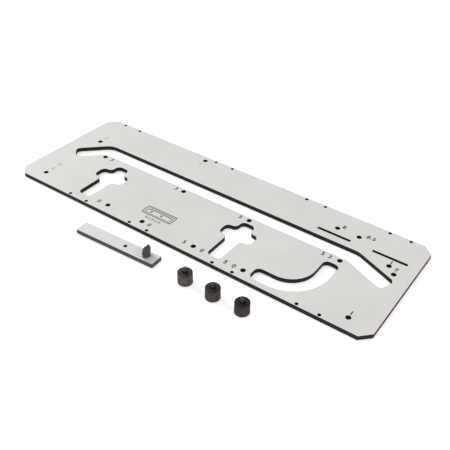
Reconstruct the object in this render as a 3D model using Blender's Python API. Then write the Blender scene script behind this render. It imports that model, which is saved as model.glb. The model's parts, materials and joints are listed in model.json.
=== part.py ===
"""Worktop jointing template: a slotted board, a stop bar with a thumb knob, and three location pegs.

Metres, +Z up. +X runs along the board's length and +Y towards its far long edge. The origin is the
centre of the board's underside, and everything stands on the plane z = 0.
"""

import math

import bmesh
import bpy
from mathutils import Matrix, Vector

MM = 0.001
GAP = 0.3 * MM                       # kept between pieces that touch

# Board
BOARD_LENGTH = 720 * MM
BOARD_WIDTH = 250 * MM
BOARD_THICKNESS = 8 * MM
BOARD_CORNER_CUT = 17 * MM

# Guide slot for a 30 mm guide bush: a straight run with an arm turned off at each end
GUIDE_WIDTH = 30 * MM
GUIDE_Y = 28.2 * MM
GUIDE_LEFT_BEND_X = -277.5 * MM
GUIDE_RIGHT_BEND_X = 257.5 * MM
BUTT_ARM_ANGLE = 45.0                # degrees, left arm
BUTT_ARM_LENGTH = 63.5 * MM
SCRIBE_ARM_ANGLE = 22.5              # degrees, right arm
SCRIBE_ARM_LENGTH = 81 * MM
GUIDE_BEND_RADIUS = 16 * MM

# Cut-outs for the bolt recesses and for the rounded corner
CUTOUT_WIDTH = 26.5 * MM
CUTOUT_RADIUS = 9 * MM
RECESS_XS = (-209.2 * MM, 76.4 * MM)
RECESS_STEM_YS = (-108.5 * MM, -4 * MM)
RECESS_BAR_Y = -37.2 * MM
RECESS_BAR_REACH = 31.7 * MM
CORNER_SLOT_START = (148.3 * MM, -100.2 * MM)
CORNER_SLOT_END = (239.5 * MM, -7.7 * MM)
CORNER_SLOT_BEND = 59 * MM

# Narrow slots for the stop bar's screw
SCREW_SLOT_WIDTH = 4.5 * MM
SCREW_SLOT_LENGTH = 62.4 * MM
SCREW_SLOT_Y = 60.4 * MM
SCREW_SLOT_STARTS = (173.7 * MM, 276.5 * MM)

# Peg holes, as rows: a distance along Y, then distances along X, all in millimetres
PEG_HOLE_DIAMETER = 8 * MM
PEG_HOLE_ROWS = (
    (-106.5, (-152.1, -73.6, 36, 134)),
    (-99.8, (-314, 315)),
    (5, (-265.8, -73.6, 69.6, 245.5)),
    (26.6, (329.6,)),
    (41, (-314, 315)),
    (78.8, (202, 243)),
    (111.8, (-105.6,)),
)

# Pairs of fixing holes along both long edges
FIXING_HOLE_DIAMETER = 4.5 * MM
FIXING_HOLE_INSET = 4.7 * MM
FIXING_PAIR_PITCH = 38.5 * MM
NEAR_PAIR_XS = (-229.2 * MM, -90 * MM, 84 * MM, 239.7 * MM)
FAR_PAIR_XS = (-319.4 * MM, -86.1 * MM, 116.9 * MM, 280.8 * MM)

# Stop bar
BAR_LENGTH = 158 * MM
BAR_WIDTH = 24.3 * MM
BAR_THICKNESS = 8 * MM
BAR_CORNER_RADIUS = 0.6 * MM
BAR_CENTRE = (-67 * MM, -172.1 * MM)
BAR_TURN = 2.5                       # degrees
BAR_SPARE_HOLE_X = 15.4 * MM         # from the bar's centre
BAR_SPARE_HOLE_DIAMETER = 5.5 * MM
BAR_KNOB_HOLE_X = 59.2 * MM
BAR_KNOB_HOLE_DIAMETER = 4.5 * MM
COUNTERSINK_DIAMETER = 8.4 * MM

# M4 countersunk screw, washer, threaded insert and thumb knob
SCREW_DIAMETER = 3.9 * MM
SCREW_TOP = 23.6 * MM
SCREW_HEAD_DIAMETER = 7.4 * MM
SCREW_SOCKET_WIDTH = 2.5 * MM
SCREW_SOCKET_DEPTH = 1.2 * MM
WASHER_DIAMETER = 10 * MM
WASHER_THICKNESS = 0.8 * MM
THREAD_BORE = 4.4 * MM
INSERT_DIAMETER = 6.4 * MM
INSERT_LENGTH = 8 * MM
KNOB_HEIGHT = 18 * MM
KNOB_BASE_DIAMETER = 13.2 * MM
KNOB_BOSS_TOP_DIAMETER = 7.4 * MM
KNOB_BOSS_HEIGHT = 16 * MM
KNOB_BORE_DEPTH = 14.8 * MM
KNOB_TURN = 93.7                     # degrees, of the wings from the bar's length
WING_THICKNESS = 2.8 * MM
WING_FOOT_HALF = 9.7 * MM
WING_FOOT_HEIGHT = 0.8 * MM
WING_WIDEST_HALF = 10.6 * MM
WING_WIDEST_HEIGHT = 10.9 * MM
WING_TOP_HALF = 6.7 * MM

# Location pegs
PEG_CENTRES = ((72.9 * MM, -173.6 * MM), (127.1 * MM, -175.7 * MM), (179.8 * MM, -174.8 * MM))
PEG_DIAMETER = 24 * MM
PEG_HEIGHT = 20 * MM
PEG_EDGE = 0.4 * MM
PIN_DIAMETER = 7.8 * MM
PIN_LENGTH = 20 * MM
PIN_REACH = 8 * MM                   # how far the pin stands out of the peg
PIN_EDGE = 0.3 * MM

ARC_STEP = math.radians(18)


# Outlines

def rounded_outline(corners):
    """Turn (x, y, radius) corners into a closed list of points, each corner replaced by its arc."""
    points = []
    for index, (x, y, radius) in enumerate(corners):
        corner = Vector((x, y))
        if radius <= 0:
            points.append(corner)
            continue
        to_before = (Vector(corners[index - 1][:2]) - corner).normalized()
        to_after = (Vector(corners[(index + 1) % len(corners)][:2]) - corner).normalized()
        half_angle = to_before.angle(to_after) / 2
        centre = corner + (to_before + to_after).normalized() * radius / math.sin(half_angle)
        start = corner + to_before * radius / math.tan(half_angle) - centre
        turn = math.pi - 2 * half_angle
        side = math.copysign(1.0, to_after.cross(to_before))
        steps = max(2, math.ceil(turn / ARC_STEP))
        for step in range(steps + 1):
            arm = start.copy()
            arm.rotate(Matrix.Rotation(side * turn * step / steps, 2))
            points.append(centre + arm)
    return points


def slot_outline(path, width, bend_radius, end_radius):
    """Outline of a slot of constant width along a path, its bends and its ends rounded."""
    half = width / 2
    path = [Vector(point) for point in path]
    left, right = [], []
    for index, point in enumerate(path):
        ahead = (path[min(index + 1, len(path) - 1)] - path[min(index, len(path) - 2)]).normalized()
        behind = (path[max(index, 1)] - path[max(index - 1, 0)]).normalized()
        normals = [Vector((-way.y, way.x)) for way in (behind, ahead)]
        offset = (normals[0] + normals[1]) / (1 + normals[0].dot(normals[1])) * half
        is_end = index in (0, len(path) - 1)
        lean = math.copysign(half, behind.cross(ahead))
        left_radius = end_radius if is_end else max(bend_radius - lean, 0)
        right_radius = end_radius if is_end else max(bend_radius + lean, 0)
        left.append((*(point + offset), left_radius))
        right.append((*(point - offset), right_radius))
    return rounded_outline(right + left[::-1])


def circle_outline(centre, diameter, sides):
    angles = [2 * math.pi * step / sides for step in range(sides)]
    return [Vector((centre[0] + diameter / 2 * math.cos(a), centre[1] + diameter / 2 * math.sin(a)))
            for a in angles]


def guide_slot():
    left = Vector((GUIDE_LEFT_BEND_X, GUIDE_Y))
    right = Vector((GUIDE_RIGHT_BEND_X, GUIDE_Y))
    butt = math.radians(180 + BUTT_ARM_ANGLE)
    scribe = math.radians(-SCRIBE_ARM_ANGLE)
    left_end = left + BUTT_ARM_LENGTH * Vector((math.cos(butt), math.sin(butt)))
    right_end = right + SCRIBE_ARM_LENGTH * Vector((math.cos(scribe), math.sin(scribe)))
    return slot_outline((left_end, left, right, right_end), GUIDE_WIDTH, GUIDE_BEND_RADIUS,
                        CUTOUT_RADIUS)


def corner_slot():
    bend = (CORNER_SLOT_END[0], CORNER_SLOT_START[1])
    return slot_outline((CORNER_SLOT_START, bend, CORNER_SLOT_END), CUTOUT_WIDTH, CORNER_SLOT_BEND,
                        CUTOUT_RADIUS)


def bolt_recess(x):
    """Cross-shaped outline: a stem along Y with a cross bar near its far end."""
    half = CUTOUT_WIDTH / 2
    low, high = RECESS_STEM_YS
    bar_low, bar_high = RECESS_BAR_Y - half, RECESS_BAR_Y + half
    right = [(half, low), (half, bar_low), (RECESS_BAR_REACH, bar_low), (RECESS_BAR_REACH, bar_high),
             (half, bar_high), (half, high)]
    left = [(-along, y) for along, y in reversed(right)]
    return rounded_outline([(x + along, y, CUTOUT_RADIUS) for along, y in right + left])


def screw_slot(start_x):
    inset = SCREW_SLOT_WIDTH / 2
    ends = ((start_x, SCREW_SLOT_Y), (start_x + SCREW_SLOT_LENGTH, SCREW_SLOT_Y))
    return slot_outline(ends, SCREW_SLOT_WIDTH, 0, inset * 0.98)


def fixing_hole_centres():
    edge = BOARD_WIDTH / 2 - FIXING_HOLE_INSET
    for y, firsts in ((-edge, NEAR_PAIR_XS), (edge, FAR_PAIR_XS)):
        for first in firsts:
            yield first, y
            yield first + FIXING_PAIR_PITCH, y


def board_openings():
    yield guide_slot()
    yield corner_slot()
    for x in RECESS_XS:
        yield bolt_recess(x)
    for start in SCREW_SLOT_STARTS:
        yield screw_slot(start)
    for y, row in PEG_HOLE_ROWS:
        for x in row:
            yield circle_outline((x * MM, y * MM), PEG_HOLE_DIAMETER, 20)
    for centre in fixing_hole_centres():
        yield circle_outline(centre, FIXING_HOLE_DIAMETER, 12)


# Meshes

def prism(outlines, low, high):
    """Solid between two heights, from an outer outline and any inner ones."""
    bm = bmesh.new()
    for outline in outlines:
        verts = [bm.verts.new((x, y, low)) for x, y in outline]
        for index, vert in enumerate(verts):
            bm.edges.new((verts[index - 1], vert))
    bmesh.ops.triangle_fill(bm, edges=bm.edges[:], use_beauty=True)
    grown = bmesh.ops.extrude_face_region(bm, geom=bm.faces[:])
    raised = [item for item in grown["geom"] if isinstance(item, bmesh.types.BMVert)]
    bmesh.ops.translate(bm, verts=raised, vec=(0, 0, high - low))
    return bm


def turned(profile, sides=32):
    """Solid of revolution about Z from (radius, height) points."""
    bm = bmesh.new()
    verts = [bm.verts.new((radius, 0, height)) for radius, height in profile]
    edges = [bm.edges.new(pair) for pair in zip(verts, verts[1:])]
    bmesh.ops.spin(bm, geom=verts + edges, axis=(0, 0, 1), cent=(0, 0, 0), angle=2 * math.pi,
                   steps=sides, use_merge=True)
    bmesh.ops.remove_doubles(bm, verts=bm.verts[:], dist=0.001 * MM)
    return bm


def add_object(name, bm, parent=None, place=(0, 0, 0), turn=0.0):
    bmesh.ops.recalc_face_normals(bm, faces=bm.faces[:])
    mesh = bpy.data.meshes.new(name)
    bm.to_mesh(mesh)
    bm.free()
    mesh.shade_smooth()
    mesh.set_sharp_from_angle(angle=math.radians(35))
    obj = bpy.data.objects.new(name, mesh)
    obj.parent = parent
    obj.location = place
    obj.rotation_euler.z = turn
    bpy.context.collection.objects.link(obj)
    return obj


def add_empty(name, place, parent=None, turn=0.0):
    empty = bpy.data.objects.new(name, None)
    empty.empty_display_size = 10 * MM
    empty.parent = parent
    empty.location = place
    empty.rotation_euler.z = turn
    bpy.context.collection.objects.link(empty)
    return empty


def combine(obj, cutter, operation="DIFFERENCE"):
    cutter.hide_render = True
    cutter.display_type = "WIRE"
    modifier = obj.modifiers.new(cutter.name, "BOOLEAN")
    modifier.operation = operation
    modifier.object = cutter
    modifier.solver = "EXACT"


def add_material(name, colour, roughness, metallic=0.0):
    material = bpy.data.materials.new(name)
    material.use_nodes = True
    shader = material.node_tree.nodes["Principled BSDF"]
    shader.inputs["Base Color"].default_value = (*colour, 1.0)
    shader.inputs["Roughness"].default_value = roughness
    shader.inputs["Metallic"].default_value = metallic
    return material


def paint(obj, material):
    obj.data.materials.append(material)


# Pieces

def make_board(material):
    x, y = BOARD_LENGTH / 2, BOARD_WIDTH / 2
    cut = BOARD_CORNER_CUT
    outer = [(-x + cut, -y), (x - cut, -y), (x, -y + cut), (x, y - cut),
             (x - cut, y), (-x + cut, y), (-x, y - cut), (-x, -y + cut)]
    board = add_object("template_plate", prism([outer, *board_openings()], 0, BOARD_THICKNESS))
    paint(board, material)


def screw_hole_cutter(name, parent, x, diameter):
    """Through hole with a countersink that opens at the underside."""
    clear = 1 * MM
    hole, sink = diameter / 2, COUNTERSINK_DIAMETER / 2
    profile = [(0, -clear), (sink, -clear), (sink, 0), (hole, sink - hole),
               (hole, BAR_THICKNESS + clear), (0, BAR_THICKNESS + clear)]
    return add_object(name, turned(profile, 24), parent, (x, 0, 0))


def make_stop_bar(material):
    frame = add_empty("stop_bar_frame", (*BAR_CENTRE, 0), turn=math.radians(BAR_TURN))
    x, y = BAR_LENGTH / 2, BAR_WIDTH / 2
    corners = [(-x, -y), (x, -y), (x, y), (-x, y)]
    outline = rounded_outline([(*corner, BAR_CORNER_RADIUS) for corner in corners])
    bar = add_object("stop_bar", prism([outline], 0, BAR_THICKNESS), frame)
    for name, hole_x, diameter in (("spare_hole", BAR_SPARE_HOLE_X, BAR_SPARE_HOLE_DIAMETER),
                                   ("knob_hole", BAR_KNOB_HOLE_X, BAR_KNOB_HOLE_DIAMETER)):
        combine(bar, screw_hole_cutter(name + "_cutter", frame, hole_x, diameter))
    paint(bar, material)
    return frame


def make_clamp_screw(axis, material):
    radius, head = SCREW_DIAMETER / 2, SCREW_HEAD_DIAMETER / 2
    tip = 0.5 * MM
    profile = [(0, GAP), (head, GAP), (radius, GAP + head - radius), (radius, SCREW_TOP - tip),
               (radius - tip, SCREW_TOP), (0, SCREW_TOP)]
    screw = add_object("clamp_screw", turned(profile, 24), axis)
    socket = circle_outline((0, 0), SCREW_SOCKET_WIDTH / math.cos(math.pi / 6), 6)
    cutter = add_object("socket_cutter", prism([socket], -GAP, GAP + SCREW_SOCKET_DEPTH), axis)
    combine(screw, cutter)
    paint(screw, material)


def make_clamp_washer(axis, material):
    outer, inner = WASHER_DIAMETER / 2, THREAD_BORE / 2
    low = BAR_THICKNESS + GAP
    high = low + WASHER_THICKNESS
    profile = [(inner, low), (outer, low), (outer, high), (inner, high), (inner, low)]
    paint(add_object("clamp_washer", turned(profile, 28), axis), material)


def wing_outline():
    right = [(WING_FOOT_HALF, WING_FOOT_HEIGHT, 1 * MM),
             (WING_WIDEST_HALF, WING_WIDEST_HEIGHT, 4 * MM),
             (WING_TOP_HALF, KNOB_HEIGHT, 0.8 * MM)]
    left = [(-across, height, radius) for across, height, radius in reversed(right)]
    return rounded_outline(right + left)


def make_wing_knob(axis, foot, material):
    """Tapered boss joined to a flat pair of wings, bored from below for the insert and screw."""
    knob_axis = add_empty("wing_knob_axis", (0, 0, foot), axis, math.radians(KNOB_TURN))
    base, top = KNOB_BASE_DIAMETER / 2, KNOB_BOSS_TOP_DIAMETER / 2
    boss_profile = [(0, 0), (base - 0.5 * MM, 0), (base, 0.6 * MM), (base, 1.5 * MM),
                    (top + 0.3 * MM, KNOB_BOSS_HEIGHT - 1.5 * MM), (top - 1 * MM, KNOB_BOSS_HEIGHT),
                    (0, KNOB_BOSS_HEIGHT)]
    knob = add_object("wing_knob", turned(boss_profile, 28), knob_axis)

    half = WING_THICKNESS / 2
    wings = add_object("wings_joined", prism([wing_outline()], -half, half), knob_axis)
    wings.rotation_euler = (math.pi / 2, 0, 0)
    combine(knob, wings, "UNION")

    pocket = INSERT_DIAMETER / 2 + GAP
    bore = THREAD_BORE / 2
    step = INSERT_LENGTH + 2 * GAP
    profile = [(0, -1 * MM), (pocket, -1 * MM), (pocket, step), (bore, step),
               (bore, KNOB_BORE_DEPTH), (0, KNOB_BORE_DEPTH)]
    combine(knob, add_object("knob_bore_cutter", turned(profile, 24), knob_axis))
    paint(knob, material)
    return knob_axis


def make_knob_insert(knob_axis, material):
    outer, inner = INSERT_DIAMETER / 2, THREAD_BORE / 2
    low, high = GAP, GAP + INSERT_LENGTH
    profile = [(inner, low), (outer, low), (outer, high), (inner, high), (inner, low)]
    paint(add_object("knob_insert", turned(profile, 24), knob_axis), material)


def make_peg(number, centre, body_material, pin_material):
    axis = add_empty(f"peg_{number}_axis", (*centre, 0))
    radius, edge = PEG_DIAMETER / 2, PEG_EDGE
    bore = PIN_DIAMETER / 2 + GAP
    pin_foot = PEG_HEIGHT + PIN_REACH - PIN_LENGTH
    body = [(0, 0), (radius - edge, 0), (radius, edge), (radius, PEG_HEIGHT - edge),
            (radius - edge, PEG_HEIGHT), (bore, PEG_HEIGHT), (bore, pin_foot - GAP),
            (0, pin_foot - GAP)]
    paint(add_object(f"peg_{number}_body", turned(body, 40), axis), body_material)
    pin, tip, top = PIN_DIAMETER / 2, PIN_EDGE, PEG_HEIGHT + PIN_REACH
    shape = [(0, pin_foot), (pin - tip, pin_foot), (pin, pin_foot + tip), (pin, top - tip),
             (pin - tip, top), (0, top)]
    paint(add_object(f"peg_{number}_pin", turned(shape, 28), axis), pin_material)


def main():
    for obj in list(bpy.data.objects):
        bpy.data.objects.remove(obj)
    laminate = add_material("pale_laminate", (0.66, 0.66, 0.63), 0.45)
    bar_laminate = add_material("bar_laminate", (0.70, 0.70, 0.69), 0.45)
    black_plastic = add_material("black_plastic", (0.045, 0.043, 0.045), 0.5)
    peg_plastic = add_material("peg_plastic", (0.06, 0.057, 0.057), 0.7)
    steel = add_material("zinc_steel", (0.55, 0.55, 0.56), 0.35, 1.0)
    pin_steel = add_material("blackened_steel", (0.09, 0.08, 0.08), 0.45, 1.0)
    brass = add_material("brass", (0.72, 0.52, 0.22), 0.3, 1.0)

    make_board(laminate)
    frame = make_stop_bar(bar_laminate)
    axis = add_empty("clamp_screw_axis", (BAR_KNOB_HOLE_X, 0, 0), frame)
    make_clamp_screw(axis, steel)
    make_clamp_washer(axis, steel)
    knob_foot = BAR_THICKNESS + 2 * GAP + WASHER_THICKNESS
    knob_axis = make_wing_knob(axis, knob_foot, black_plastic)
    make_knob_insert(knob_axis, brass)
    for number, centre in enumerate(PEG_CENTRES, start=1):
        make_peg(number, centre, peg_plastic, pin_steel)


main()
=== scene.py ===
"""Looks of the worktop jointing template: fine meshes, materials, studio light and camera.

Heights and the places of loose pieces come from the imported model. The board's outlines repeat the
design's own numbers with finer arcs. Everything is in metres, +Z up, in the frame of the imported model.
"""

import json
import math

import bmesh
import bpy
from mathutils import Matrix, Vector

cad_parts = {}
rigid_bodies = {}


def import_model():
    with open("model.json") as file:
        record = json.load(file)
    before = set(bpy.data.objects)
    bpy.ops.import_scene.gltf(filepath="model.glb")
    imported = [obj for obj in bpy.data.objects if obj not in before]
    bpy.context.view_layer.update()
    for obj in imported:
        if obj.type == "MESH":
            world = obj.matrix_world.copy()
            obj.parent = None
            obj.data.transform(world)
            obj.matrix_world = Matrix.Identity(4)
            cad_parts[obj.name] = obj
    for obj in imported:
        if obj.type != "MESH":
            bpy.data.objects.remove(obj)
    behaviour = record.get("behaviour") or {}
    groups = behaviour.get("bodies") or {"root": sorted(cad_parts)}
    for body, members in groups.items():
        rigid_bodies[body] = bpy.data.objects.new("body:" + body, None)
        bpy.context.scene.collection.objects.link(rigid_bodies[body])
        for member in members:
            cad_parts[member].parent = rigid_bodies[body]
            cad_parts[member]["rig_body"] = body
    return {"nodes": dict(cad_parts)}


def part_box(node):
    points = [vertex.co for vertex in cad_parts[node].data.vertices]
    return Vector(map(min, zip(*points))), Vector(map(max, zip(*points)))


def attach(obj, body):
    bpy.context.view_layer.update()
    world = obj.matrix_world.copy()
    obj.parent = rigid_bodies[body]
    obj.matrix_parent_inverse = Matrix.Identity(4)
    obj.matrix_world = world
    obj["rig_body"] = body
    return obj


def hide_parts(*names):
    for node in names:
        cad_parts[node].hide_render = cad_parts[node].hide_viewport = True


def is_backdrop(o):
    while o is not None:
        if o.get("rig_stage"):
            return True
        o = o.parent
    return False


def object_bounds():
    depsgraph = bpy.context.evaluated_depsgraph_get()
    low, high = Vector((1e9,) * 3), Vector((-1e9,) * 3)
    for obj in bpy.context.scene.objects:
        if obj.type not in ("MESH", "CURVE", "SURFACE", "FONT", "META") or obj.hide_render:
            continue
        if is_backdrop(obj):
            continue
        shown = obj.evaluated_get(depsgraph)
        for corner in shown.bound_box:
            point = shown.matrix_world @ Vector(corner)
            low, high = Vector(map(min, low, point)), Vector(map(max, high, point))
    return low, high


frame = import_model()
CAD_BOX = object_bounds()

MM = 0.001
ARC_STEP = math.radians(5)
EDGE_STEP = math.radians(30)         # arcs of small rounded edges
SHARP_ANGLE = math.radians(40)       # edges sharper than this are not smoothed over
WELD = 0.001 * MM                    # points closer than this become one
UP = Vector((0, 0, 1))

# Board outlines, as in the design
CORNER_CUT = 17 * MM
GUIDE_WIDTH = 30 * MM
GUIDE_Y = 28.2 * MM
GUIDE_BENDS_X = (-277.5 * MM, 257.5 * MM)
BUTT_ARM = (180 + 45.0, 63.5 * MM)   # direction in degrees and length
SCRIBE_ARM = (-22.5, 81 * MM)
GUIDE_BEND_RADIUS = 16 * MM
CUTOUT_WIDTH = 26.5 * MM
CUTOUT_RADIUS = 9 * MM
RECESS_XS = (-209.2 * MM, 76.4 * MM)
RECESS_STEM_YS = (-108.5 * MM, -4 * MM)
RECESS_BAR_Y = -37.2 * MM
RECESS_BAR_REACH = 31.7 * MM
CORNER_SLOT_START = (148.3 * MM, -100.2 * MM)
CORNER_SLOT_END = (239.5 * MM, -7.7 * MM)
CORNER_SLOT_BEND = 59 * MM
SCREW_SLOT_WIDTH = 4.5 * MM
SCREW_SLOT_LENGTH = 62.4 * MM
SCREW_SLOT_Y = 60.4 * MM
SCREW_SLOT_STARTS = (173.7 * MM, 276.5 * MM)
PEG_HOLE_DIAMETER = 8 * MM
PEG_HOLE_ROWS = (                    # distance along Y, then distances along X, in millimetres
    (-106.5, (-152.1, -73.6, 36, 134)),
    (-99.8, (-314, 315)),
    (5, (-265.8, -73.6, 69.6, 245.5)),
    (26.6, (329.6,)),
    (41, (-314, 315)),
    (78.8, (202, 243)),
    (111.8, (-105.6,)),
)
FIXING_HOLE_DIAMETER = 4.5 * MM
FIXING_HOLE_SIDES = 32
FIXING_HOLE_INSET = 4.7 * MM
FIXING_PAIR_PITCH = 38.5 * MM
NEAR_PAIR_XS = (-229.2 * MM, -90 * MM, 84 * MM, 239.7 * MM)
FAR_PAIR_XS = (-319.4 * MM, -86.1 * MM, 116.9 * MM, 280.8 * MM)
ARRIS = 0.35 * MM                    # rounding where a face meets a cut edge
HOLE_ARRIS = 0.55 * MM
FIXING_HOLE_ARRIS = 0.85 * MM
ROUND_END = 0.98                     # a slot's end radius, as a share of half its width
GAP = 0.3 * MM                       # clearance between neighbouring pieces, as in the design

# Stop bar
BAR_LENGTH = 158 * MM
BAR_WIDTH = 24.3 * MM
BAR_CORNER_RADIUS = 0.6 * MM
BAR_TURN = math.radians(2.5)
BAR_HOLES = ((15.4 * MM, 2.75 * MM), (59.2 * MM, 2.25 * MM))     # distance from the centre, radius
COUNTERSINK_RADIUS = 4.2 * MM
COUNTERSINK_LIP = 0.1 * MM

# Screw, washer, insert and knob
THREAD_PITCH = 0.7 * MM
THREAD_DEPTH = 0.38 * MM
THREAD_FLAT = 0.12                   # half width of the root, as a share of the pitch's half
THREAD_FLANK = 0.72                  # run of a flank, likewise
SCREW_RADIUS = 1.95 * MM
SCREW_NECK = 1.2 * MM                # plain length between head and thread
SCREW_TIP = 0.5 * MM
SCREW_TIP_NARROWING = 0.8
SCREW_HEAD_RIM = (0.1 * MM, 0.2 * MM)    # heights of the rim's lower and upper edges
SCREW_SOCKET_WIDTH = 2.5 * MM
SCREW_SOCKET_DEPTH = 1.2 * MM
THREAD_BORE_RADIUS = 2.2 * MM
WASHER_EDGE = 0.15 * MM
KNURL_DEPTH = 0.18 * MM
KNURL_BANDS = ((0.08, 0.44), (0.56, 0.92))      # as shares of the insert's length
KNURL_TWIST = 9                      # turn of the ridges over the insert's length, in radians
KNURL_RIDGES = 12                    # half of the number of ridges
BORE_THREAD_DEPTH = 0.14 * MM
KNOB_TURN = math.radians(93.7)
KNOB_BOSS_HEIGHT = 16 * MM
KNOB_BASE_RADIUS = 6.6 * MM
KNOB_TOP_RADIUS = 3.9 * MM
KNOB_BORE_DEPTH = 14.8 * MM
WING_THICKNESS = 2.8 * MM
WING_FOOT = (9.7 * MM, 0.8 * MM)     # half width and height
WING_WIDEST = (10.6 * MM, 10.9 * MM)
WING_TOP_HALF = 6.7 * MM
WING_EDGE = 0.7 * MM
KNOB_VOXEL = 0.22 * MM               # grid on which boss and wings are melted together

# Pegs
PEG_EDGE = 0.4 * MM
PEG_BORE_EDGE = (0.5 * MM, 0.15 * MM)    # chamfer round the pin, and its rounding
PIN_EDGE = 0.3 * MM
PEG_COLOURS = ((0.060, 0.054, 0.050), (0.042, 0.034, 0.030), (0.026, 0.024, 0.022))
PEG_SHADED_END_DEPTH = 0.45 * MM            # painted shade: the end face and its rounded rim, this deep from the top, take a darker copy of the side plastic
# painted shade: brightness of the end face and rim, as a share of the side colour
PEG_END_SHADE_SHARE = 0.55

# Printed marks: plain numbers beside the holes, at distances along X and Y in millimetres
MARK_HEIGHT = 9 * MM
MARK_BOLDNESS = 0.03                # as a share of the size of a number
INK_THICKNESS = 0.03 * MM
MARKS = (
    ("3", -248, 5), ("3", -90, 5), ("3", 51.5, 5), ("5", 215, 4.5), ("3", 228, 4.5),
    ("0", -172.5, -106.5), ("0", -57.5, -106.5), ("5", 17.5, -106.5), ("0", 53.5, -106.5),
    ("5", 100.5, -106.5), ("0", 116.5, -106.5),
    ("8", 210.5, 88.5), ("8.5", 261, 88.5), ("1", 315, 51), ("7", 329, 39), ("1", 315, -89),
)
FAINT_MARKS = (("6", -314, -82), ("6", -314, -65), ("2", -313.5, 59), ("9", -106.5, 95.5))
DIAGRAM_CENTRE = Vector((-63 * MM, -74.5 * MM))
DIAGRAM_SIZE = Vector((64 * MM, 22 * MM))
DIAGRAM_STROKE = 1.8 * MM

TICK_PITCH = 4.8 * MM
TICK_DROP = 9.4 * MM                 # from the plan's frame down to the feet of the ticks
TICK_LONG, TICK_SHORT = 6.4 * MM, 4.4 * MM

# Colours in linear light
PLATE_FACE = (0.535, 0.548, 0.528)
BAR_FACE = (0.56, 0.56, 0.555)
PLATE_CORE = 0.030
BAR_CORE = 0.09
KNOB_BLACK = (0.052, 0.048, 0.050)
ZINC = (0.42, 0.42, 0.43), (0.60, 0.60, 0.61)              # dull and bright
BRASS = (0.55, 0.36, 0.13), (0.74, 0.54, 0.24)
BLACKENED = (0.040, 0.036, 0.035), (0.098, 0.089, 0.086)
BLACK_INK = (0.014, 0.013, 0.012)
FADED_INK = (0.26, 0.26, 0.25)

# Studio and camera
FLOOR_RADIUS = 9
FLOOR_DROP = 0.2 * MM                # below the object's feet
FLOOR_GLOW = 0.26
SKY_STRENGTH = 0.80
CAMERA_PLACE = (0.5466, -0.7414, 0.6797)
CAMERA_TURN = (32.012, 51.605, 3.122)    # degrees: round the upright, tilt from straight down, roll
CAMERA_SENSOR = 36
CAMERA_LENS = 51.88
CAMERA_SHIFT = (-0.0633, 0.0216)


# Outlines

def rounded_outline(corners, arc_step=ARC_STEP):
    """Turn (x, y, radius) corners into a closed list of points, each corner replaced by its arc."""
    points = []
    for index, (x, y, radius) in enumerate(corners):
        corner = Vector((x, y))
        if radius <= 0:
            points.append(corner)
            continue
        to_before = (Vector(corners[index - 1][:2]) - corner).normalized()
        to_after = (Vector(corners[(index + 1) % len(corners)][:2]) - corner).normalized()
        half_angle = to_before.angle(to_after) / 2
        centre = corner + (to_before + to_after).normalized() * radius / math.sin(half_angle)
        start = corner + to_before * radius / math.tan(half_angle) - centre
        turn = math.pi - 2 * half_angle
        side = math.copysign(1.0, to_after.cross(to_before))
        steps = max(2, math.ceil(turn / arc_step - 0.001))
        for step in range(steps + 1):
            arm = start.copy()
            arm.rotate(Matrix.Rotation(side * turn * step / steps, 2))
            points.append(centre + arm)
    return points


def slot_outline(path, width, bend_radius, end_radius):
    """Outline of a slot of constant width along a path, its bends and its ends rounded."""
    half = width / 2
    path = [Vector(point) for point in path]
    left, right = [], []
    for index, point in enumerate(path):
        ahead = (path[min(index + 1, len(path) - 1)] - path[min(index, len(path) - 2)]).normalized()
        behind = (path[max(index, 1)] - path[max(index - 1, 0)]).normalized()
        normals = [Vector((-way.y, way.x)) for way in (behind, ahead)]
        offset = (normals[0] + normals[1]) / (1 + normals[0].dot(normals[1])) * half
        is_end = index in (0, len(path) - 1)
        lean = math.copysign(half, behind.cross(ahead))
        left_radius = end_radius if is_end else max(bend_radius - lean, 0)
        right_radius = end_radius if is_end else max(bend_radius + lean, 0)
        left.append((*(point + offset), left_radius))
        right.append((*(point - offset), right_radius))
    return rounded_outline(right + left[::-1])


def rectangle_outline(centre, size, radius):
    x, y = size[0] / 2, size[1] / 2
    corners = ((-x, -y), (x, -y), (x, y), (-x, y))
    return rounded_outline([(centre[0] + dx, centre[1] + dy, radius) for dx, dy in corners])


def circle_outline(centre, radius, sides=48):
    angles = [2 * math.pi * step / sides for step in range(sides)]
    return [Vector((centre[0] + radius * math.cos(a), centre[1] + radius * math.sin(a)))
            for a in angles]


def polar(angle, length):
    return length * Vector((math.cos(math.radians(angle)), math.sin(math.radians(angle))))


def guide_path():
    left, right = [Vector((x, GUIDE_Y)) for x in GUIDE_BENDS_X]
    return left + polar(*BUTT_ARM), left, right, right + polar(*SCRIBE_ARM)


def corner_slot():
    bend = (CORNER_SLOT_END[0], CORNER_SLOT_START[1])
    return slot_outline((CORNER_SLOT_START, bend, CORNER_SLOT_END), CUTOUT_WIDTH, CORNER_SLOT_BEND,
                        CUTOUT_RADIUS)


def bolt_recess(x):
    """Cross-shaped outline: a stem along Y with a cross bar near its far end."""
    half = CUTOUT_WIDTH / 2
    low, high = RECESS_STEM_YS
    bar_low, bar_high = RECESS_BAR_Y - half, RECESS_BAR_Y + half
    right = [(half, low), (half, bar_low), (RECESS_BAR_REACH, bar_low), (RECESS_BAR_REACH, bar_high),
             (half, bar_high), (half, high)]
    left = [(-along, y) for along, y in reversed(right)]
    return rounded_outline([(x + along, y, CUTOUT_RADIUS) for along, y in right + left])


def screw_slot(start_x):
    ends = ((start_x, SCREW_SLOT_Y), (start_x + SCREW_SLOT_LENGTH, SCREW_SLOT_Y))
    return slot_outline(ends, SCREW_SLOT_WIDTH, 0, SCREW_SLOT_WIDTH / 2 * ROUND_END)


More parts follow.
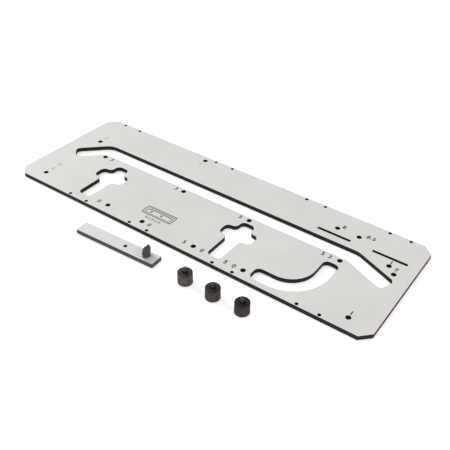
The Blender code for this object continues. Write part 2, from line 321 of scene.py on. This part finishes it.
def fixing_hole_centres(half_width):
    edge = half_width - FIXING_HOLE_INSET
    for y, firsts in ((-edge, NEAR_PAIR_XS), (edge, FAR_PAIR_XS)):
        for first in firsts:
            yield first, y
            yield first + FIXING_PAIR_PITCH, y


def board_cutouts():
    """The wide cut-outs that a guide bush runs in."""
    yield slot_outline(guide_path(), GUIDE_WIDTH, GUIDE_BEND_RADIUS, CUTOUT_RADIUS)
    yield corner_slot()
    for x in RECESS_XS:
        yield bolt_recess(x)


def board_holes():
    """Screw slots and peg holes."""
    for start in SCREW_SLOT_STARTS:
        yield screw_slot(start)
    for y, row in PEG_HOLE_ROWS:
        for x in row:
            yield circle_outline((x * MM, y * MM), PEG_HOLE_DIAMETER / 2)


def board_outline(x, y):
    cut = CORNER_CUT
    return [Vector(point) for point in (
        (-x + cut, -y), (x - cut, -y), (x, -y + cut), (x, y - cut),
        (x - cut, y), (-x + cut, y), (-x, y - cut), (-x, -y + cut))]


def is_clockwise(outline):
    return sum(before.cross(point) for before, point in zip([outline[-1]] + outline, outline)) < 0


def offset_outline(outline, distance):
    """Move a closed outline to its left by a distance, its corners mitred."""
    moved = []
    for index, point in enumerate(outline):
        before = (point - outline[index - 1]).normalized()
        after = (outline[(index + 1) % len(outline)] - point).normalized()
        normals = [Vector((-way.y, way.x)) for way in (before, after)]
        mitre = (normals[0] + normals[1]) / (1 + normals[0].dot(normals[1]))
        moved.append(point + mitre * distance)
    return moved


# Meshes

def edge_profile(low, high, edge):
    """(inset, height) points up a wall with both of its edges rounded."""
    quarter = [math.radians(angle) for angle in (0, 30, 60, 90)]
    lower = [(edge * (1 - math.sin(a)), low + edge * (1 - math.cos(a))) for a in quarter]
    upper = [(inset, low + high - height) for inset, height in reversed(lower)]
    return lower + upper


def slab(rims, cap_material=0, wall_material=1):
    """Flat solid from (outline, edge profile) rims, the first round its outside, the others its openings."""
    bm = bmesh.new()
    floor_edges, top_edges = [], []
    for number, (outline, profile) in enumerate(rims):
        if is_clockwise(outline) != (number > 0):
            outline = outline[::-1]
        rings = [[bm.verts.new((*point, height)) for point in offset_outline(outline, inset)]
                 for inset, height in profile]
        for lower, upper in zip(rings, rings[1:]):
            for index in range(len(outline)):
                corners = (lower[index - 1], lower[index], upper[index], upper[index - 1])
                wall = bm.faces.new(corners)
                wall.material_index = wall_material
                wall.smooth = True
        floor_edges += [bm.edges.get((rings[0][i - 1], rings[0][i])) for i in range(len(outline))]
        top_edges += [bm.edges.get((rings[-1][i - 1], rings[-1][i])) for i in range(len(outline))]
    for edges in (floor_edges, top_edges):
        filled = bmesh.ops.triangle_fill(bm, edges=edges, use_beauty=True)
        for face in filled["geom"]:
            if isinstance(face, bmesh.types.BMFace):
                face.material_index = cap_material
                face.smooth = False
    return bm


def turned(corners, sides=96):
    """Solid of revolution about Z from (radius, height, rounding) corners."""
    bm = bmesh.new()
    verts = [bm.verts.new((radius, 0, height))
             for radius, height in rounded_outline(corners, EDGE_STEP)]
    edges = [bm.edges.new(pair) for pair in zip(verts, verts[1:])]
    bmesh.ops.spin(bm, geom=verts + edges, axis=UP, cent=(0, 0, 0), angle=2 * math.pi,
                   steps=sides, use_merge=True)
    bmesh.ops.remove_doubles(bm, verts=bm.verts[:], dist=WELD)
    for face in bm.faces:
        face.smooth = True
    return bm


def knit(rings, closed):
    """Skin between rings of (x, y, z) points, its ends joined to each other or capped."""
    bm = bmesh.new()
    rings = [[bm.verts.new(point) for point in ring] for ring in rings]
    pairs = list(zip(rings, rings[1:]))
    if closed:
        pairs.append((rings[-1], rings[0]))
    for lower, upper in pairs:
        for index in range(len(lower)):
            face = bm.faces.new((lower[index - 1], lower[index], upper[index], upper[index - 1]))
            face.smooth = True
    if not closed:
        bm.faces.new(rings[0][::-1])
        bm.faces.new(rings[-1])
    return bm


def ring(height, radius_at, sides=48):
    """Points round Z at one height, each at the radius for its angle."""
    angles = [2 * math.pi * step / sides for step in range(sides)]
    return [(radius_at(a) * math.cos(a), radius_at(a) * math.sin(a), height) for a in angles]


def thread_wave(angle, height):
    """0 at the root and 1 at the crest of a right-handed thread."""
    phase = (height / THREAD_PITCH - angle / (2 * math.pi)) % 1.0
    return min(max((abs(2 * phase - 1) - THREAD_FLAT) / THREAD_FLANK, 0.0), 1.0)


def add_piece(name, bm, materials, place=(0, 0, 0), turn=0.0):
    bmesh.ops.recalc_face_normals(bm, faces=bm.faces[:])
    smooth = [face.smooth for face in bm.faces]
    mesh = bpy.data.meshes.new(name)
    bm.to_mesh(mesh)
    bm.free()
    mesh.set_sharp_from_angle(angle=SHARP_ANGLE)
    mesh.polygons.foreach_set("use_smooth", smooth)
    for material in materials:
        mesh.materials.append(material)
    piece = bpy.data.objects.new(name, mesh)
    piece.location = place
    piece.rotation_euler.z = turn
    bpy.context.scene.collection.objects.link(piece)
    return piece


def fit(piece, node):
    """Let a piece stand for its CAD node: it rides on the node's body and takes its place."""
    body = frame["nodes"][node]["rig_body"]
    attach(piece, body)
    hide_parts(node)
    return piece


def add_modifier(piece, kind, **settings):
    modifier = piece.modifiers.new(kind.title(), kind)
    for name, value in settings.items():
        setattr(modifier, name, value)


def settle(piece, *helpers):
    """Replace a piece's mesh with what its modifiers make of it, then remove the helper objects."""
    graph = bpy.context.evaluated_depsgraph_get()
    mesh = bpy.data.meshes.new_from_object(piece.evaluated_get(graph), depsgraph=graph)
    piece.modifiers.clear()
    piece.data = mesh
    for helper in helpers:
        bpy.data.objects.remove(helper)


# Materials

def add_node(tree, kind, sockets=None, **settings):
    """Add a shader node. Sockets maps input names or numbers to values or to another node's output."""
    node = tree.nodes.new(kind)
    for name, value in settings.items():
        setattr(node, name, value)
    for key, value in (sockets or {}).items():
        if isinstance(value, bpy.types.NodeSocket):
            tree.links.new(value, node.inputs[key])
        else:
            node.inputs[key].default_value = value
    return node


def new_material(name, metallic=0.0, specular=0.5):
    material = bpy.data.materials.new(name)
    material.use_nodes = True
    shader = material.node_tree.nodes["Principled BSDF"]
    shader.inputs["Metallic"].default_value = metallic
    shader.inputs["Specular IOR Level"].default_value = specular
    return material, material.node_tree, shader


def noise(tree, size, detail=2.0, stretch=(1, 1, 1)):
    """Noise in the piece's own coordinates, with features of about the given size in metres."""
    place = add_node(tree, "ShaderNodeTexCoord").outputs["Object"]
    mapped = add_node(tree, "ShaderNodeMapping", {"Vector": place, "Scale": stretch}).outputs[0]
    return add_node(tree, "ShaderNodeTexNoise",
                    {"Vector": mapped, "Scale": 1 / size, "Detail": detail}).outputs[0]


def bands(tree, spacing, wave_type="BANDS"):
    """Fine even bands along Z, or rings round Z, one each spacing in metres."""
    place = add_node(tree, "ShaderNodeTexCoord").outputs["Object"]
    wave = add_node(tree, "ShaderNodeTexWave", {"Vector": place}, wave_type=wave_type,
                    bands_direction="Z", rings_direction="Z")
    wave.inputs["Scale"].default_value = 2 * math.pi / (20 * spacing)
    wave.inputs["Distortion"].default_value = 0.6
    return wave.outputs[1]


def spread(tree, value, low, high, from_low=0.3, from_high=0.7):
    """Map a noise value onto a range."""
    return add_node(tree, "ShaderNodeMapRange", {
        "Value": value, "From Min": from_low, "From Max": from_high,
        "To Min": low, "To Max": high}).outputs[0]


def ramp(tree, value, *stops):
    """Colour ramp through (position, colour) stops."""
    node = add_node(tree, "ShaderNodeValToRGB", {"Fac": value})
    elements = node.color_ramp.elements
    while len(elements) < len(stops):
        elements.new(1.0)
    for element, (position, colour) in zip(elements, stops):
        element.position = position
        element.color = (*colour, 1.0)
    return node.outputs[0]


def bump(tree, height, depth, strength=1.0, under=None):
    sockets = {"Height": height, "Distance": depth, "Strength": strength}
    if under is not None:
        sockets["Normal"] = under
    return add_node(tree, "ShaderNodeBump", sockets).outputs[0]


def wire(tree, shader, **values):
    """Link outputs to the shader's sockets, named with underscores for spaces."""
    for name, output in values.items():
        tree.links.new(output, shader.inputs[name.replace("_", " ")])


def scaled(colour, factor):
    return tuple(channel * factor for channel in colour)


def decor_laminate(name, colour):
    """Pressed laminate face: a fine pebble in the resin, and a colour that barely wanders."""
    material, tree, shader = new_material(name, specular=0.25)
    wander = noise(tree, 90 * MM, detail=9.0)
    pebble = noise(tree, 0.7 * MM, detail=3.0)
    wire(tree, shader,
         Base_Color=ramp(tree, wander, (0.3, scaled(colour, 0.965)), (0.7, scaled(colour, 1.035))),
         Roughness=spread(tree, noise(tree, 18 * MM, detail=4.0), 0.48, 0.60),
         Normal=bump(tree, pebble, 0.02 * MM, 0.5))
    return material


def core_laminate(name, thickness, tone, specular):
    """Cut edge: dark resin with the paper plies showing as faint lines, and upright cutter marks."""
    material, tree, shader = new_material(name, specular=specular)
    place = add_node(tree, "ShaderNodeTexCoord").outputs["Object"]
    height = add_node(tree, "ShaderNodeSeparateXYZ", {"Vector": place}).outputs["Z"]
    share = spread(tree, height, 0.0, 1.0, 0.0, thickness)
    middle, outer = scaled((1.0, 0.97, 0.94), tone), (0.45 * tone,) * 3
    depth = ramp(tree, share, (0.0, outer), (0.25, outer), (0.5, middle), (0.75, outer), (1.0, outer))
    plies = ramp(tree, bands(tree, 0.62 * MM), (0.0, (0.6,) * 3), (1.0, (1.0,) * 3))
    mixed = add_node(tree, "ShaderNodeMix", {"Factor": 1.0, 6: depth, 7: plies},
                     data_type="RGBA", blend_type="MULTIPLY")
    chatter = noise(tree, 0.9 * MM, detail=3.0, stretch=(1, 1, 0.04))
    wire(tree, shader, Base_Color=mixed.outputs[2],
         Roughness=spread(tree, chatter, 0.42, 0.62),
         Normal=bump(tree, chatter, 0.03 * MM, 0.6))
    return material


def moulded_plastic(name, colour, grain):
    """Moulded plastic with a spark-eroded grain and a slight mottle."""
    material, tree, shader = new_material(name, specular=0.2)
    mottle = noise(tree, 3.5 * MM, detail=5.0)
    wire(tree, shader,
         Base_Color=ramp(tree, mottle, (0.3, scaled(colour, 0.75)), (0.7, scaled(colour, 1.3))),
         Roughness=spread(tree, noise(tree, 1.6 * MM, detail=3.0), 0.50, 0.68),
         Normal=bump(tree, noise(tree, grain, detail=2.0), 0.05 * MM, 0.5))
    return material


def turned_plastic(name, colour):
    """Plastic bar turned on a lathe: fine tool rings and a cloudy surface."""
    material, tree, shader = new_material(name, specular=0.12)
    mottle = noise(tree, 5 * MM, detail=6.0)
    tool = bump(tree, bands(tree, 0.5 * MM), 0.02 * MM, 0.5)
    grain = bump(tree, noise(tree, 0.6 * MM, detail=2.0), 0.03 * MM, 0.5, tool)
    wire(tree, shader,
         Base_Color=ramp(tree, mottle, (0.3, scaled(colour, 0.5)), (0.7, scaled(colour, 1.6))),
         Roughness=spread(tree, noise(tree, 2 * MM, detail=4.0), 0.48, 0.7),
         Normal=grain)
    return material


def worked_metal(name, dull, bright, roughness, edge_tint=1.0):
    """Turned or plated metal: fine rings from the tool and a patchy finish."""
    material, tree, shader = new_material(name, metallic=1.0)
    shader.inputs["Specular Tint"].default_value = (edge_tint, edge_tint, edge_tint, 1.0)
    patches = noise(tree, 1.8 * MM, detail=5.0)
    wire(tree, shader,
         Base_Color=ramp(tree, patches, (0.3, dull), (0.7, bright)),
         Roughness=spread(tree, noise(tree, 0.9 * MM, detail=4.0), roughness, roughness + 0.16),
         Normal=bump(tree, bands(tree, 0.18 * MM, "RINGS"), 0.006 * MM, 0.5))
    return material


def printed_ink(name, colour):
    """Screen-printed ink, slightly uneven where the resin's pebble shows through."""
    material, tree, shader = new_material(name, specular=0.35)
    cover = noise(tree, 1.1 * MM, detail=4.0)
    wire(tree, shader,
         Base_Color=ramp(tree, cover, (0.25, scaled(colour, 0.8)), (0.75, scaled(colour, 1.35))),
         Roughness=spread(tree, cover, 0.45, 0.6))
    return material


def lit_floor(name):
    """White light table: its own faint glow keeps the shadows on it pale."""
    material, tree, shader = new_material(name, specular=0.0)
    shader.inputs["Emission Color"].default_value = (1.0, 1.0, 1.0, 1.0)
    shader.inputs["Emission Strength"].default_value = FLOOR_GLOW
    wire(tree, shader,
         Base_Color=ramp(tree, noise(tree, 0.5, detail=3.0), (0.3, (0.93,) * 3), (0.7, (0.95,) * 3)),
         Roughness=spread(tree, noise(tree, 0.05), 0.85, 0.95))
    return material


# Pieces

def centre_of(node):
    low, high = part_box(node)
    return (low + high) / 2


def make_board(decor, core):
    low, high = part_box("template_plate")
    cut_edge = edge_profile(low.z, high.z, ARRIS)
    hole_edge = edge_profile(low.z, high.z, HOLE_ARRIS)
    fixing_edge = edge_profile(low.z, high.z, FIXING_HOLE_ARRIS)
    rims = [(outline, cut_edge) for outline in (board_outline(high.x, high.y), *board_cutouts())]
    rims += [(outline, hole_edge) for outline in board_holes()]
    rims += [(circle_outline(centre, FIXING_HOLE_DIAMETER / 2, FIXING_HOLE_SIDES), fixing_edge)
             for centre in fixing_hole_centres(high.y)]
    board = add_piece("board", slab(rims), (decor, core))
    fit(board, "template_plate")
    return high.z


def make_stop_bar(decor, core):
    low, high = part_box("stop_bar")
    middle = centre_of("stop_bar")
    cut_edge = edge_profile(low.z, high.z, ARRIS)
    hole_mouth = edge_profile(low.z, high.z, HOLE_ARRIS)[4:]
    rims = [(rectangle_outline((0, 0), (BAR_LENGTH, BAR_WIDTH), BAR_CORNER_RADIUS), cut_edge)]
    for x, radius in BAR_HOLES:
        sink = COUNTERSINK_RADIUS - radius
        countersink = [(sink + COUNTERSINK_LIP, low.z), (sink, low.z + COUNTERSINK_LIP),
                       (0, low.z + sink)]
        rims.append((circle_outline((x, 0), radius), countersink + hole_mouth))
    bar = add_piece("stop_bar_board", slab(rims), (decor, core), (middle.x, middle.y, 0), BAR_TURN)
    fit(bar, "stop_bar")


def screw_rings(low, high):
    """Countersunk head, short plain neck, then thread up to a chamfered tip."""
    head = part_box("clamp_screw")[1].x - centre_of("clamp_screw").x
    rim_low, rim_high = SCREW_HEAD_RIM
    neck_top = low + head + SCREW_NECK
    tip = high - SCREW_TIP
    root = SCREW_RADIUS - THREAD_DEPTH
    plain = [(low, head - rim_low), (low + rim_low, head), (low + rim_high, head),
             (low + rim_high + head - root, root), (neck_top, root)]
    for height, radius in plain:
        yield ring(height, lambda angle, radius=radius: radius)
    steps = math.ceil((tip - neck_top) / (THREAD_PITCH / 10))
    for step in range(1, steps + 1):
        height = neck_top + (tip - neck_top) * step / steps
        grow = min((height - neck_top) / THREAD_PITCH, (tip - height) / THREAD_PITCH * 2, 1.0)
        yield ring(height, lambda angle, height=height, grow=grow: (
            root + THREAD_DEPTH * grow * thread_wave(angle, height)))
    yield ring(high, lambda angle: root - (high - tip) * SCREW_TIP_NARROWING)


def make_screw(steel):
    low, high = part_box("clamp_screw")
    axis = centre_of("clamp_screw")
    screw = add_piece("countersunk_screw", knit(list(screw_rings(low.z, high.z)), False), (steel,))
    socket = circle_outline((0, 0), SCREW_SOCKET_WIDTH / math.sqrt(3), 6)
    depth = low.z + SCREW_SOCKET_DEPTH
    cutter = add_piece("socket_cutter", slab([(socket, [(0, low.z - MM), (0, depth)])], 0, 0), ())
    add_modifier(screw, "BOOLEAN", operation="DIFFERENCE", object=cutter, solver="EXACT")
    settle(screw, cutter)
    screw.location = (axis.x, axis.y, 0)
    fit(screw, "clamp_screw")


def make_washer(steel):
    low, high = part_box("clamp_washer")
    axis = centre_of("clamp_washer")
    outer = high.x - axis.x
    ring_corners = [(THREAD_BORE_RADIUS, low.z, WASHER_EDGE), (outer, low.z, WASHER_EDGE),
                    (outer, high.z, WASHER_EDGE), (THREAD_BORE_RADIUS, high.z, WASHER_EDGE)]
    outline = rounded_outline(ring_corners, EDGE_STEP)
    rings = [ring(height, lambda angle, radius=radius: radius, 64) for radius, height in outline]
    washer = add_piece("plain_washer", knit(rings, True), (steel,), (axis.x, axis.y, 0))
    fit(washer, "clamp_washer")


def wing_outline(height):
    right = [(*WING_FOOT, 1 * MM), (*WING_WIDEST, 4 * MM), (WING_TOP_HALF, height, 0.8 * MM)]
    left = [(-across, up, radius) for across, up, radius in reversed(right)]
    return rounded_outline(right + left)


def make_knob(plastic):
    """Boss and wings melted together as one moulding, then bored for the insert and the screw."""
    low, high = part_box("wing_knob")
    axis = centre_of("clamp_screw")
    boss = [(0, 0, 0), (KNOB_BASE_RADIUS, 0, 0.6 * MM), (KNOB_BASE_RADIUS, 1.5 * MM, 1 * MM),
            (KNOB_TOP_RADIUS, KNOB_BOSS_HEIGHT, 1.2 * MM), (0, KNOB_BOSS_HEIGHT, 0)]
    knob = add_piece("thumb_knob", turned(boss, 64), (plastic,))
    half = WING_THICKNESS / 2
    outline = wing_outline(high.z - low.z)
    wings = add_piece("wings", slab([(outline, edge_profile(-half, half, WING_EDGE))], 0, 0), ())
    wings.rotation_euler.x = math.pi / 2
    add_modifier(knob, "BOOLEAN", operation="UNION", object=wings, solver="EXACT")
    add_modifier(knob, "REMESH", mode="VOXEL", voxel_size=KNOB_VOXEL, use_smooth_shade=True)
    add_modifier(knob, "SMOOTH", factor=0.5, iterations=6)
    settle(knob, wings)

    insert_low, insert_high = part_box("knob_insert")
    pocket = (insert_high.x - insert_low.x) / 2 + GAP
    step = insert_high.z - low.z + GAP
    bore = [(0, -MM, 0), (pocket, -MM, 0), (pocket, step, 0), (THREAD_BORE_RADIUS, step, 0),
            (THREAD_BORE_RADIUS, KNOB_BORE_DEPTH, 0), (0, KNOB_BORE_DEPTH, 0)]
    cutter = add_piece("bore_cutter", turned(bore, 64), ())
    add_modifier(knob, "BOOLEAN", operation="DIFFERENCE", object=cutter, solver="EXACT")
    settle(knob, cutter)
    knob.data.set_sharp_from_angle(angle=SHARP_ANGLE)
    knob.location = (axis.x, axis.y, low.z)
    knob.rotation_euler.z = KNOB_TURN + BAR_TURN
    fit(knob, "wing_knob")


def make_insert(brass):
    """Threaded insert: two knurled bands with a groove between them, and a threaded bore."""
    low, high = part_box("knob_insert")
    axis = centre_of("knob_insert")
    outer = (high.x - low.x) / 2
    length = high.z - low.z

    def outside(height):
        share = (height - low.z) / length
        banded = any(start < share < shaded_end for start, shaded_end in KNURL_BANDS)
        depth = KNURL_DEPTH if banded else 0.0
        base = outer - KNURL_DEPTH if banded else outer - 2 * KNURL_DEPTH
        return lambda angle: base + depth * abs(math.cos(KNURL_RIDGES * angle + share * KNURL_TWIST))

    def inside(height):
        return lambda angle: THREAD_BORE_RADIUS - BORE_THREAD_DEPTH * thread_wave(angle, height)

    steps = math.ceil(length / (THREAD_PITCH / 8))
    heights = [low.z + length * step / steps for step in range(steps + 1)]
    rings = [ring(height, outside(height)) for height in heights]
    rings += [ring(height, inside(height)) for height in reversed(heights)]
    insert = add_piece("threaded_insert", knit(rings, True), (brass,), (axis.x, axis.y, 0))
    fit(insert, "knob_insert")


def make_peg(number, side_plastic, shaded_end_plastic, steel):
    body_node, pin_node = f"peg_{number}_body", f"peg_{number}_pin"
    low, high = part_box(body_node)
    pin_low, pin_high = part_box(pin_node)
    axis = centre_of(body_node)
    radius, pin = high.x - axis.x, pin_high.x - axis.x
    bore = pin + GAP
    chamfer, rounding = PEG_BORE_EDGE
    body = [(0, 0, 0), (radius, 0, PEG_EDGE), (radius, high.z, PEG_EDGE),
            (bore + chamfer, high.z, rounding), (bore, high.z - chamfer, 0),
            (bore, pin_low.z - GAP, 0), (0, pin_low.z - GAP, 0)]
    shape = [(0, pin_low.z, 0), (pin, pin_low.z, PIN_EDGE), (pin, pin_high.z, PIN_EDGE),
             (0, pin_high.z, 0)]
    place = (axis.x, axis.y, 0)
    bm = turned(body)
    for face in bm.faces:
        # faces near the top get the darker end material: painted shade on the end face and rim
        face.material_index = int(face.calc_center_median().z > high.z - PEG_SHADED_END_DEPTH)
    peg = add_piece(f"peg_{number}_turned_body", bm, (side_plastic, shaded_end_plastic), place)
    fit(peg, body_node)
    fit(add_piece(f"peg_{number}_steel_pin", turned(shape, 64), (steel,), place), pin_node)


# Printed marks

def lettered(text, centre, height):
    """Flat numbers as a thin layer of ink, centred on a point of the board's face."""
    curve = bpy.data.curves.new("mark", "FONT")
    curve.body = text
    curve.extrude = INK_THICKNESS
    curve.offset = MARK_BOLDNESS
    curve.space_character = 1.15
    writing = bpy.data.objects.new("mark", curve)
    bpy.context.scene.collection.objects.link(writing)
    graph = bpy.context.evaluated_depsgraph_get()
    mesh = bpy.data.meshes.new_from_object(writing.evaluated_get(graph), depsgraph=graph)
    bpy.data.objects.remove(writing)
    xs, ys = [vert.co.x for vert in mesh.vertices], [vert.co.y for vert in mesh.vertices]
    scale = height / (max(ys) - min(ys))
    middle = Vector(((max(xs) + min(xs)) / 2, (max(ys) + min(ys)) / 2, 0))
    mesh.transform(Matrix.Translation(centre) @ Matrix.Diagonal((scale, scale, 1, 1))
                   @ Matrix.Translation(-middle))
    return mesh


def ink_solid(outlines, surface):
    profile = [(0, surface - INK_THICKNESS), (0, surface + INK_THICKNESS)]
    return slab([(outline, profile) for outline in outlines], 0, 0)


def stroke(path, width):
    return slot_outline(path, width, width, width / 2 * ROUND_END)


def diagram_outlines():
    """Small plan of the template itself in a plain frame, with a short scale of ticks below it."""
    middle, size = DIAGRAM_CENTRE, DIAGRAM_SIZE
    line = Vector((DIAGRAM_STROKE, DIAGRAM_STROKE)) * 2
    yield (rectangle_outline(middle, size, 3 * MM), rectangle_outline(middle, size - line, 2.2 * MM))
    inner = size - Vector((9, 7)) * MM
    yield (rectangle_outline(middle, inner, 1 * MM),
           rectangle_outline(middle, inner - line * 0.7, 0.5 * MM))
    shrink = inner.x / (720 * MM)
    guide = [middle + Vector((0, 1.5 * MM)) + point * shrink for point in guide_path()]
    yield (stroke(guide, DIAGRAM_STROKE),)
    for x in RECESS_XS:
        top = middle + Vector((x * shrink, 0.8 * MM))
        yield (stroke((top, top - Vector((0, 5.2 * MM))), DIAGRAM_STROKE),)
        side = Vector((2.4 * MM, 0))
        cross = top - Vector((0, 1.6 * MM))
        yield (stroke((cross - side, cross + side), DIAGRAM_STROKE),)
    for step in range(7):
        foot = middle + Vector(((step - 3) * TICK_PITCH, -size.y / 2 - TICK_DROP))
        reach = TICK_LONG if step % 3 == 0 else TICK_SHORT
        yield (stroke((foot, foot + Vector((0, reach))), DIAGRAM_STROKE),)


def make_marks(name, writings, shapes, surface, ink):
    bm = bmesh.new()
    for text, x, y in writings:
        mesh = lettered(text, Vector((x * MM, y * MM, surface)), MARK_HEIGHT)
        bm.from_mesh(mesh)
        bpy.data.meshes.remove(mesh)
    for outlines in shapes:
        solid = ink_solid(outlines, surface)
        mesh = bpy.data.meshes.new("shape")
        solid.to_mesh(mesh)
        solid.free()
        bm.from_mesh(mesh)
        bpy.data.meshes.remove(mesh)
    bmesh.ops.remove_doubles(bm, verts=bm.verts[:], dist=WELD)
    marks = add_piece(name, bm, (ink,))
    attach(marks, "board")


# Stage

def make_floor():
    bm = bmesh.new()
    bmesh.ops.create_circle(bm, cap_ends=True, radius=FLOOR_RADIUS, segments=96)
    floor = add_piece("studio_floor", bm, (lit_floor("lit_floor"),), (0, 0, -FLOOR_DROP))
    floor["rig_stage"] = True


def add_soft_light(name, place, size, power, colour):
    """Round area light aimed at the middle of the board."""
    lamp = bpy.data.lights.new(name, "AREA")
    lamp.shape = "DISK"
    lamp.size = size
    lamp.energy = power
    lamp.color = colour
    light = bpy.data.objects.new(name, lamp)
    light.location = place
    light.rotation_euler = (-Vector(place)).to_track_quat("-Z", "Y").to_euler()
    bpy.context.scene.collection.objects.link(light)


def make_world(strength):
    world = bpy.data.worlds.new("studio")
    world.use_nodes = True
    sky = world.node_tree.nodes["Background"]
    sky.inputs["Color"].default_value = (1.0, 1.0, 1.0, 1.0)
    sky.inputs["Strength"].default_value = strength
    bpy.context.scene.world = world


def make_camera():
    lens = bpy.data.cameras.new("camera")
    lens.sensor_width = CAMERA_SENSOR
    lens.lens = CAMERA_LENS
    lens.shift_x, lens.shift_y = CAMERA_SHIFT
    lens.clip_start = 0.05
    camera = bpy.data.objects.new("camera", lens)
    azimuth, tilt, roll = [math.radians(angle) for angle in CAMERA_TURN]
    turn = Matrix.Rotation(azimuth, 4, "Z") @ Matrix.Rotation(tilt, 4, "X") @ Matrix.Rotation(roll, 4, "Z")
    camera.matrix_world = Matrix.Translation(CAMERA_PLACE) @ turn
    bpy.context.scene.collection.objects.link(camera)
    bpy.context.scene.camera = camera


def make_stage():
    make_floor()
    make_world(SKY_STRENGTH)
    add_soft_light("key", place=(-4.4, 1.1, 3.0), size=2.0, power=190, colour=(1.0, 0.995, 0.965))
    add_soft_light("fill", place=(1.5, -0.5, 1.0), size=1.2, power=9, colour=(1.0, 0.72, 0.70))
    make_camera()
    bpy.context.scene.view_settings.view_transform = "Standard"


def make_object():
    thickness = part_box("template_plate")[1].z
    make_board(decor_laminate("plate_laminate", PLATE_FACE),
               core_laminate("plate_core", thickness, PLATE_CORE, specular=0.08))
    make_stop_bar(decor_laminate("bar_laminate", BAR_FACE),
                  core_laminate("bar_core", thickness, BAR_CORE, specular=0.2))
    steel = worked_metal("zinc_steel", *ZINC, roughness=0.30)
    make_screw(steel)
    make_washer(steel)
    make_knob(moulded_plastic("knob_plastic", KNOB_BLACK, grain=0.45 * MM))
    make_insert(worked_metal("brass", *BRASS, roughness=0.28))
    pin_steel = worked_metal("blackened_steel", *BLACKENED, roughness=0.40, edge_tint=0.15)
    for number, colour in enumerate(PEG_COLOURS, 1):
        # each peg's end is a darker copy of its side plastic: painted shade
        make_peg(number, turned_plastic(f"peg_{number}_side", colour),
                 turned_plastic(f"peg_{number}_end", scaled(colour, PEG_END_SHADE_SHARE)), pin_steel)
    make_marks("printed_marks", MARKS, diagram_outlines(), thickness,
               printed_ink("marking_ink", BLACK_INK))
    make_marks("faint_marks", FAINT_MARKS, (), thickness,
               printed_ink("faded_ink", FADED_INK))


def write_sizes():
    boxes = {"cad": CAD_BOX, "visual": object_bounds()}
    {name: [list(corner) for corner in box] for name, box in boxes.items()}


make_object()
make_stage()
write_sizes()
